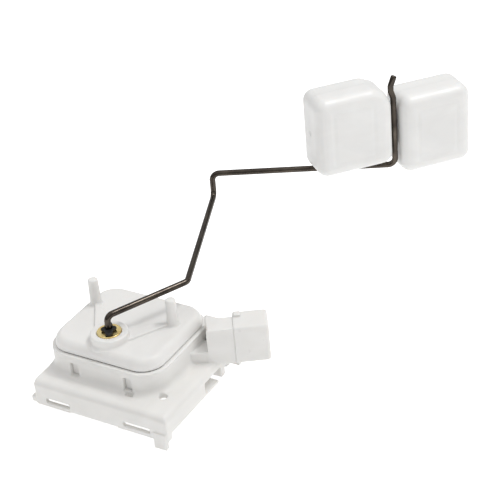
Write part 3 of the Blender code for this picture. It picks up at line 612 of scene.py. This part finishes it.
def stop_solid(place):
    """Stop post: a slight draft, a fillet at its foot and a domed end."""
    dome = 0.6
    profile = [(2.9, COVER_TOP - 0.8), (2.9, COVER_TOP), (2.5, COVER_TOP + 0.4),
               (2.3, COVER_TOP + 1.2)]
    for x, z in quarter(dome, 0, 90):
        profile.append((STOP_RADIUS - dome + x, STOP_TOP - dome + z))
    return turned("stop", profile, place, 40)


def cover_solids():
    """Lid with its plug, boss, ribs and posts, and the tongues whose barbs fill the windows."""
    solids = [lid_solid(), boss_solid(),
              prism("plug", tub_outline(PLUG_INSET), 20.7, COVER_RIM + 1.0)]
    for post in STOPS:
        solids.append(prism("rib", taper(RIB_ENDS[0], post, RIB_ENDS[1]), COVER_TOP - 0.7,
                            RIB_TOP))
        solids.append(stop_solid(post))
    for places, wall, into in ((WINDOW_FRONT_X, TUB_FRONT, 1), (WINDOW_BACK_X, TUB_BACK, -1)):
        for x in places:
            tongue = sorted(wall + into * inset for inset in TONGUE_INSET)
            barb = sorted(wall + into * inset for inset in BARB_INSET)
            solids += [block("tongue", (x - 1.4, x + 1.4), tongue, (15.6, 22.0)),
                       block("barb", (x - 1.8, x + 1.8), barb, (15.1, 20.3))]
    return solids


def cover_cutters():
    """The lid's inside, the bush's bore and the flange's seat."""
    return [prism("inside", tub_outline(4.8), 20.0, 24.9),
            turned("bush_bore", [(3.7, 22.0), (3.7, 33.0)]),
            turned("flange_seat", [(FLANGE_RADIUS + 0.2, 31.4), (FLANGE_RADIUS + 0.2, 33.0)])]


def make_cover(look):
    cover = moulded("cover_lid", cover_solids(), cover_cutters(), voxel=0.9)
    dress(cover, look, "cover_plastic", "housing", "cover")


# ---------------------------------------------------------------- connector

def make_connector(look, blade_look, carrier_look):
    """Collar with its key and mouth, and what stands in it."""
    low, high = COLLAR_HEIGHT
    start, end = COLLAR_ALONG
    inner = (COLLAR_ACROSS[0] + COLLAR_WALL, COLLAR_ACROSS[1] - COLLAR_WALL)
    rings = [(start - 0.4, 0.1), (start + 0.1, 0.02), (end - 1.6, 0.02), (end - 1.0, 0.05),
             (end - 0.4, 0.3), (end, 0.9)]
    collar = along_connector("collar_shell", rings, COLLAR_ACROSS, COLLAR_HEIGHT, COLLAR_CORNER)
    key = prism("key", connector_outline((start + 0.1, start + 2.7), (4.6, 7.4)), high - 1.7,
                high + 1.2)
    mouth = along_connector("mouth", [(45.0, 0.0), (58.9, 0.0), (60.4, -0.55)], inner,
                            (low + COLLAR_WALL, high - COLLAR_WALL), 0.9)
    piece = moulded("collar", [collar, key], [mouth], voxel=0.75, soften=4)
    dress(piece, look, "collar_plastic", "housing", "connector_collar")
    for number, height in enumerate(BLADE_HEIGHTS, 1):
        make_blade(number, height, blade_look)
    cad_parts["terminal_carrier"].data.materials.clear()
    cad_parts["terminal_carrier"].data.materials.append(carrier_look)


def along_connector(name, rings, across, height, radius):
    """Rounded square swept along the connector's axis: each ring is (distance, inset)."""
    work = bmesh.new()
    loops = []
    for along, inset in rings:
        outline = rounded((across[0] + inset, across[1] - inset),
                          (height[0] + inset, height[1] - inset), max(radius - inset, 0.3), 8)
        loops.append([])
        for side, level in outline:
            x, y = connector_point(along, side)
            loops[-1].append(work.verts.new((x * MM, y * MM, level * MM)))
    for low, high in zip(loops, loops[1:]):
        for i in range(len(low)):
            j = (i + 1) % len(low)
            work.faces.new((low[i], low[j], high[j], high[i]))
    work.faces.new(loops[0][::-1])
    work.faces.new(loops[-1])
    return from_work(name, work)


def make_blade(number, height, look):
    """Flat pin with a chamfered tip."""
    thick, wide = BLADE_HALF
    rings = [(BLADE_ALONG[0], 0.0), (BLADE_ALONG[1] - 1.2, 0.0), (BLADE_ALONG[1], 0.26)]
    blade = along_connector(f"terminal_blade_{number}", rings,
                            (BLADE_ACROSS - thick, BLADE_ACROSS + thick),
                            (height - wide, height + wide), 0.1)
    blade.data.shade_smooth()
    blade.data.set_sharp_from_angle(angle=math.radians(30))
    dress(blade, look, "terminal_tin", "housing", f"terminal_{number}")


# ---------------------------------------------------------------- pivot and arm

def make_bush(look):
    """Flanged bush with broken edges and a countersunk bore."""
    top = FLANGE_TOP
    bottom = top - BARREL_LENGTH
    profile = [(WIRE_BORE, top - 0.25), (1.8, top), (FLANGE_RADIUS - 0.2, top),
               (FLANGE_RADIUS, top - 0.2), (FLANGE_RADIUS, top - 0.6),
               (FLANGE_RADIUS - 0.1, top - 0.7), (BARREL_RADIUS, top - 0.7),
               (BARREL_RADIUS, bottom + 0.2), (BARREL_RADIUS - 0.2, bottom), (WIRE_BORE, bottom)]
    work = bmesh.new()
    steps = 96
    loops = [[work.verts.new((radius * MM * math.cos(math.tau * i / steps),
                              radius * MM * math.sin(math.tau * i / steps), height * MM))
              for i in range(steps)] for radius, height in profile]
    for upper, lower in zip(loops, loops[1:] + loops[:1]):
        for i in range(steps):
            j = (i + 1) % steps
            work.faces.new((upper[i], upper[j], lower[j], lower[i]))
    bush = from_work("bush", work)
    bush.data.shade_smooth()
    bush.data.set_sharp_from_angle(angle=math.radians(30))
    dress(bush, look, "bush_brass", "housing", "pivot_bush")


def lobe_reach(turn):
    """The clip's radius in each direction: four lobes, two of them longer."""
    reach = 3.0 + 0.7 * math.cos(math.radians(4 * (turn - 35)))
    return reach + 0.7 * math.cos(math.radians(2 * (turn - 125)))


def make_retainer(look):
    """Four-lobed clip round the wire, with rounded edges."""
    def lobes(inset):
        return [polar(lobe_reach(turn) - inset, turn) for turn in range(0, 360, 3)]

    edge = 0.4
    rings = [(lobes(0.2), FLANGE_TOP + 0.3), (lobes(0.0), FLANGE_TOP + 0.5)]
    for x, z in quarter(edge, 0, 90, 6):
        rings.append((lobes(edge - x), FLANGE_TOP + 1.0 + z))
    clip = moulded("retainer_clip", [loft("clip", rings)],
                   [turned("clip_bore", [(1.45, 31.0), (1.45, 36.0)])], voxel=0.5, soften=2)
    dress(clip, look, "retainer_plastic", "arm", "arm_retainer")


def ahead(start, leg, height):
    length, heading = leg
    return Vector((*polar(length, heading, start), height))


def arm_corners():
    """The wire's corners and their bend radii, from its lower end to its tip."""
    first = ahead((0.0, 0.0), LEG_1, ARM_LOW)
    second = ahead(first, LEG_2, ARM_LOW)
    raised = Vector((second.x, second.y, ARM_HIGH))
    foot = ahead(raised, LEG_3, ARM_HIGH)
    corners = [(Vector((0, 0, ARM_BOTTOM)), 0), (Vector((0, 0, ARM_LOW)), FIRST_BEND), (first, BEND),
               (second, BEND), (raised, BEND), (foot, BEND)]
    side = Vector((*polar(1.0, FLOAT_HEADING), 0.0))
    for drop, shift in KINK:
        place = Vector((foot.x, foot.y, FLOAT_LEG_TOP - drop)) + side * shift
        corners.append((place, KINK_BEND if drop else 0))
    return corners


def bent_path(corners, bend_steps=14):
    """Points along straight runs, with an arc of the given radius at each corner."""
    path = [corners[0][0]]
    for (before, _), (corner, radius), (after, _) in zip(corners, corners[1:], corners[2:]):
        back = (before - corner).normalized()
        on = (after - corner).normalized()
        half = back.angle(on) / 2
        setback = radius / math.tan(half)
        centre = corner + (back + on).normalized() * (radius / math.sin(half))
        start = corner + back * setback - centre
        turn = math.pi - 2 * half
        steps = max(4, round(bend_steps * turn / (math.pi / 2)))
        axis = back.cross(start).normalized()
        path += [centre + Matrix.Rotation(turn * i / steps, 3, axis) @ start
                 for i in range(steps + 1)]
    return path + [corners[-1][0]]


def filled_in(path, gap):
    """The same path with extra points, so that no two are further apart than gap."""
    points = [path[0]]
    for end in path[1:]:
        start = points[-1]
        count = max(1, math.ceil((end - start).length / gap))
        points += [start.lerp(end, i / count) for i in range(1, count + 1)]
    return points


def sweep(name, path, radius, sides=28):
    """Round tube along a path, pressed flat at the kink, with its length and turn as UVs."""
    work = bmesh.new()
    layer = work.loops.layers.uv.new("along")
    loops = []
    lengths = [0.0]
    for a, b in zip(path, path[1:]):
        lengths.append(lengths[-1] + (b - a).length)
    side = Vector((1, 0, 0))
    total = lengths[-1]
    for i, point in enumerate(path):
        on = (path[min(i + 1, len(path) - 1)] - path[max(i - 1, 0)]).normalized()
        side = (side - on * side.dot(on)).normalized()
        up = on.cross(side)
        from_end = min(lengths[i], total - lengths[i])
        here = radius * (1.0 - 0.28 * max(0.0, 1.0 - from_end / 0.45) ** 2)
        loops.append([])
        for k in range(sides):
            turn = math.tau * k / sides
            offset = here * (math.cos(turn) * side + math.sin(turn) * up)
            over = offset.dot(FLAT_SIDE) - 0.72 * radius
            if over > 0.0 and FLAT_Z[0] < point.z < FLAT_Z[1]:
                offset -= FLAT_SIDE * over
            loops[-1].append(work.verts.new((point + offset) * MM))
    for i, (low, high) in enumerate(zip(loops, loops[1:])):
        for k in range(sides):
            j = (k + 1) % sides
            face = work.faces.new((low[k], low[j], high[j], high[k]))
            for corner, (along, turn) in zip(face.loops, ((i, k), (i, k + 1), (i + 1, k + 1),
                                                          (i + 1, k))):
                corner[layer].uv = (lengths[along] / 10.0, turn / sides)
    work.faces.new(loops[0][::-1])
    work.faces.new(loops[-1])
    tube = from_work(name, work)
    tube.data.shade_smooth()
    tube.data.set_sharp_from_angle(angle=math.radians(50))
    return tube


def make_arm(look):
    """The wire, with closer points at its tip, where the end is rounded."""
    path = filled_in(bent_path(arm_corners()), 1.5)
    end = path[-1]
    path = path[:-1] + [path[-2].lerp(end, share) for share in (0.4, 0.7, 0.85, 0.95, 1.0)]
    wire = sweep("bent_wire", path, WIRE_RADIUS)
    dress(wire, look, "wire_steel", "arm", "float_arm")


# ---------------------------------------------------------------- float

def panel_depth(x, z):
    """How far the big faces sink: a shallow groove round a slightly raised panel."""
    edge = max(abs(x) - 8.7, abs(z) - 11.0)
    groove = 0.22 * math.exp(-(edge / 0.75) ** 2)
    outer = max(abs(x) - 11.3, abs(z) - 13.0)
    return groove + 0.10 / (1.0 + math.exp(-outer / 0.5))


def off_corner(inner, core):
    """Keeps a core point inside the wide curve at the left block's upper inner corner."""
    bend = CORNER_ROUND - FLOAT_ROUND
    centre = Vector((core.x - bend, 0.0, core.z - bend))
    reach = Vector((inner.x - centre.x, 0.0, inner.z - centre.z))
    if min(reach.x, reach.z) > 0.0 and reach.length > bend:
        reach *= bend / reach.length
        return Vector((centre.x + reach.x, inner.y, centre.z + reach.z))
    return inner


def float_half(side, size, block_place, front, look, place):
    """One shell of a float block: rounded on five sides, closed where it is welded."""
    start, bottom = block_place
    half = size / 2
    core = half - Vector((FLOAT_ROUND,) * 3)
    shift = LEFT_PANEL_SHIFT if side == "left" else 0.0
    work = bmesh.new()
    bmesh.ops.create_cube(work, size=2.0)
    bmesh.ops.subdivide_edges(work, edges=work.edges[:], cuts=63,
                              use_grid_fill=True)
    for vert in work.verts:
        spot = Vector(vert.co[i] * half[i] for i in range(3))
        inner = Vector(max(-core[i], min(core[i], spot[i])) for i in range(3))
        if side == "left":
            inner = off_corner(inner, core)
        spot = inner + (spot - inner).normalized() * FLOAT_ROUND
        if abs(spot.y) > half.y - 0.5:
            spot.y -= math.copysign(panel_depth(spot.x + shift, spot.z), spot.y)
        vert.co = spot
    keep = -1 if front else 1
    bmesh.ops.bisect_plane(work, geom=work.verts[:] + work.edges[:] + work.faces[:],
                           plane_co=(0, keep * WELD_GAP, 0), plane_no=(0, -keep, 0),
                           clear_outer=True)
    rim = [edge for edge in work.edges if edge.is_boundary]
    bmesh.ops.contextual_create(work, geom=rim)
    centre = Vector((start + half.x, FLOAT_FRONT + half.y, bottom + half.z))
    turn = Matrix.Rotation(math.radians(FLOAT_HEADING), 4, "Z")
    if side == "left":
        add_gate_mark(work, half)
    bmesh.ops.transform(work, verts=work.verts, matrix=Matrix.Translation(place * MM) @ turn
                        @ Matrix.Scale(MM, 4) @ Matrix.Translation(centre))
    name = "front" if front else "back"
    shell = from_work(f"float_{side}_{name}_shell", work)
    if side == "left" and front:
        shell = with_kink_pocket(shell, place, bottom)
    shell.data.shade_smooth()
    shell.data.set_sharp_from_angle(angle=math.radians(60))
    dress(shell, look, "float_plastic", "float", f"float_{side}_{name}")


def with_kink_pocket(shell, place, bottom):
    """Cuts the pocket in the left block's side that lets the wire's kink swing past."""
    profile = [(WIRE_BORE, KINK_BOTTOM), (KINK_ROOM, KINK_BOTTOM + 0.8),
               (KINK_ROOM, bottom + LEFT_SIZE.z + 1.0)]
    room = turned("kink_room", profile, (place.x, place.y), 48)
    combine(shell, [room], "DIFFERENCE")
    return baked(shell.name, shell, [shell, room])


def add_gate_mark(work, half):
    """Small sunk gate mark on the outer side, on the weld."""
    mark = Vector((-half.x, 0.0, 0.9))
    for vert in work.verts:
        away = (vert.co - mark).length
        if away < 3.0:
            vert.co.x += 0.8 * math.exp(-(away / 0.9) ** 2)


def make_bridge(look, place):
    """Web between the blocks, behind the wire."""
    left_face = LEFT_BLOCK[0] + LEFT_SIZE.x - 0.2
    right_face = RIGHT_BLOCK[0] + 0.2
    bottom = LEFT_BLOCK[1] + BRIDGE_END
    top = RIGHT_BLOCK[1] + RIGHT_SIZE.z - BRIDGE_END
    outline = rectangle((left_face, right_face), BRIDGE_Y)
    bridge = moulded("bridge_web", [prism("web", outline, bottom, top)], voxel=0.8, soften=3)
    turn = Matrix.Rotation(math.radians(FLOAT_HEADING), 4, "Z")
    bridge.data.transform(Matrix.Translation(place * MM) @ turn)
    dress(bridge, look, "float_plastic", "float", "float_bridge")


def make_float(look):
    foot = arm_corners()[FOOT_CORNER][0]
    place = Vector((foot.x, foot.y, 0.0))
    for side, size, block_place in (("left", LEFT_SIZE, LEFT_BLOCK),
                                    ("right", RIGHT_SIZE, RIGHT_BLOCK)):
        for front in (True, False):
            float_half(side, size, block_place, front, look, place)
    make_bridge(look, place)


# ---------------------------------------------------------------- inner nodes

def dress_inner_nodes():
    """Materials for the pieces inside the housing, which keep their own solids."""
    tin = plain_metal("lead_tin", (0.50, 0.50, 0.48), (0.76, 0.76, 0.74), 0.30)
    looks = {"cover_seal": dark_plastic("seal_rubber", (0.010, 0.010, 0.010),
                                        (0.030, 0.030, 0.030), 0.65),
             "resistor_card": white_plastic("card_ceramic", (0.80, 0.79, 0.74),
                                            (0.70, 0.69, 0.63), (0.5, 0.65), 0.4),
             "wiper_rotor": dark_plastic("rotor_plastic", (0.05, 0.05, 0.05), (0.12, 0.12, 0.12)),
             "thrust_washer": plain_metal("washer_steel", (0.40, 0.40, 0.40),
                                          (0.62, 0.62, 0.62), 0.28),
             "wiper_spring": plain_metal("spring_bronze", (0.55, 0.34, 0.15),
                                         (0.78, 0.54, 0.28), 0.25)}
    ink = dark_plastic("track_ink", (0.015, 0.015, 0.015), (0.045, 0.045, 0.045), 0.45)
    silver = plain_metal("contact_silver", (0.62, 0.62, 0.61), (0.86, 0.86, 0.85), 0.18)
    looks |= {name: ink for name in ("resistor_track", "collector_track")}
    looks |= {name: silver for name in ("wiper_contact_outer", "wiper_contact_inner")}
    looks |= {f"lead_{number}": tin for number in (1, 2, 3)}
    for name, look in looks.items():
        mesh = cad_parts[name].data
        mesh.materials.clear()
        mesh.materials.append(look)


# ---------------------------------------------------------------- studio

def area_light(name, place, target, size, power):
    light = bpy.data.lights.new(name, "AREA")
    light.shape = "RECTANGLE"
    light.size, light.size_y = size
    light.energy = power
    lamp = bpy.data.objects.new(name, light)
    lamp.location = place
    lamp.rotation_euler = (Vector(target) - Vector(place)).to_track_quat("-Z", "Y").to_euler()
    bpy.context.scene.collection.objects.link(lamp)


def make_floor():
    """Plain pale floor that gives off a little light of its own, so it stays near white."""
    reach = 6.0
    mesh = bpy.data.meshes.new("floor")
    mesh.from_pydata([(-reach, -reach, 0), (reach, -reach, 0), (reach, reach, 0),
                      (-reach, reach, 0)], [], [(0, 1, 2, 3)])
    floor = new_object("floor", mesh)
    floor.location.z = -0.0002
    pale = Nodes("floor_pale")
    pale.link(pale.ramp(pale.noise(3.0), (0.3, (0.80, 0.80, 0.80)), (0.7, (0.83, 0.83, 0.83))),
              pale.shader.inputs["Base Color"])
    pale.set("Roughness", 0.9)
    pale.set("Specular IOR Level", 0.0)
    pale.set("Emission Color", (1.0, 1.0, 1.0, 1.0))
    glow = other_in_view(pale.tree, FLOOR_GLOW_SEEN)
    glow.inputs[MIX_A].default_value = FLOOR_GLOW
    pale.link(glow.outputs[0], pale.shader.inputs["Emission Strength"])
    mesh.materials.append(pale.material)


def other_in_view(tree, seen_value):
    """Mix node that gives its A input as light, and seen_value straight to the camera."""
    seen = tree.nodes.new("ShaderNodeLightPath")
    pick = tree.nodes.new("ShaderNodeMix")
    pick.inputs[MIX_B].default_value = seen_value
    tree.links.new(seen.outputs["Is Camera Ray"], pick.inputs[MIX_FACTOR])
    return pick


def make_world():
    """Soft overhead dome: brightest straight up, dim towards the horizon, white in view."""
    world = bpy.data.worlds.new("studio")
    bpy.context.scene.world = world
    world.use_nodes = True
    tree = world.node_tree
    background = tree.nodes["Background"]
    background.inputs["Color"].default_value = (1.0, 1.0, 1.0, 1.0)
    place = tree.nodes.new("ShaderNodeTexCoord")
    split = tree.nodes.new("ShaderNodeSeparateXYZ")
    rise = tree.nodes.new("ShaderNodeMapRange")
    rise.inputs["To Min"].default_value = DOME_HORIZON
    rise.inputs["To Max"].default_value = DOME_ZENITH
    tree.links.new(place.outputs["Generated"], split.inputs["Vector"])
    tree.links.new(split.outputs["Z"], rise.inputs["Value"])
    pick = other_in_view(tree, 1.0)
    tree.links.new(rise.outputs["Result"], pick.inputs[MIX_A])
    tree.links.new(pick.outputs[0], background.inputs["Strength"])


def make_studio():
    make_floor()
    make_world()
    for name, (place, size, power) in LIGHTS.items():
        area_light(name, place, LIT_POINT, size, power)


def make_camera():
    """Camera in front of the housing, to its right and above it."""
    camera = bpy.data.objects.new("camera", bpy.data.cameras.new("camera"))
    camera.data.lens = CAMERA_LENS
    camera.data.sensor_width = 36.0
    camera.data.clip_start = 0.01
    camera.location = Vector(CAMERA_PLACE) * MM
    camera.rotation_euler = [math.radians(turn) for turn in CAMERA_TURN]
    bpy.context.scene.collection.objects.link(camera)
    bpy.context.scene.camera = camera
    bpy.context.scene.view_settings.view_transform = "Standard"


def main():
    make_studio()
    make_camera()
    light = (0.86, 0.85, 0.83)
    shade = (0.80, 0.79, 0.765)
    make_housing(white_plastic("housing_white", light, shade))
    make_cover(white_plastic("cover_white", (0.875, 0.865, 0.845), (0.815, 0.805, 0.785)))
    make_connector(white_plastic("collar_white", light, shade, (0.26, 0.38)),
                   plain_metal("blade_tin", (0.55, 0.55, 0.52), (0.80, 0.80, 0.78), 0.22),
                   white_plastic("carrier_white", (0.74, 0.73, 0.70), (0.68, 0.67, 0.64)))
    make_bush(brass())
    make_retainer(dark_plastic("retainer_black", (0.003, 0.003, 0.003), (0.010, 0.010, 0.010),
                               0.45))
    make_arm(wire_steel())
    make_float(white_plastic("float_white", (0.88, 0.875, 0.86), (0.83, 0.825, 0.81),
                             (0.30, 0.42), 0.06))
    dress_inner_nodes()


main()
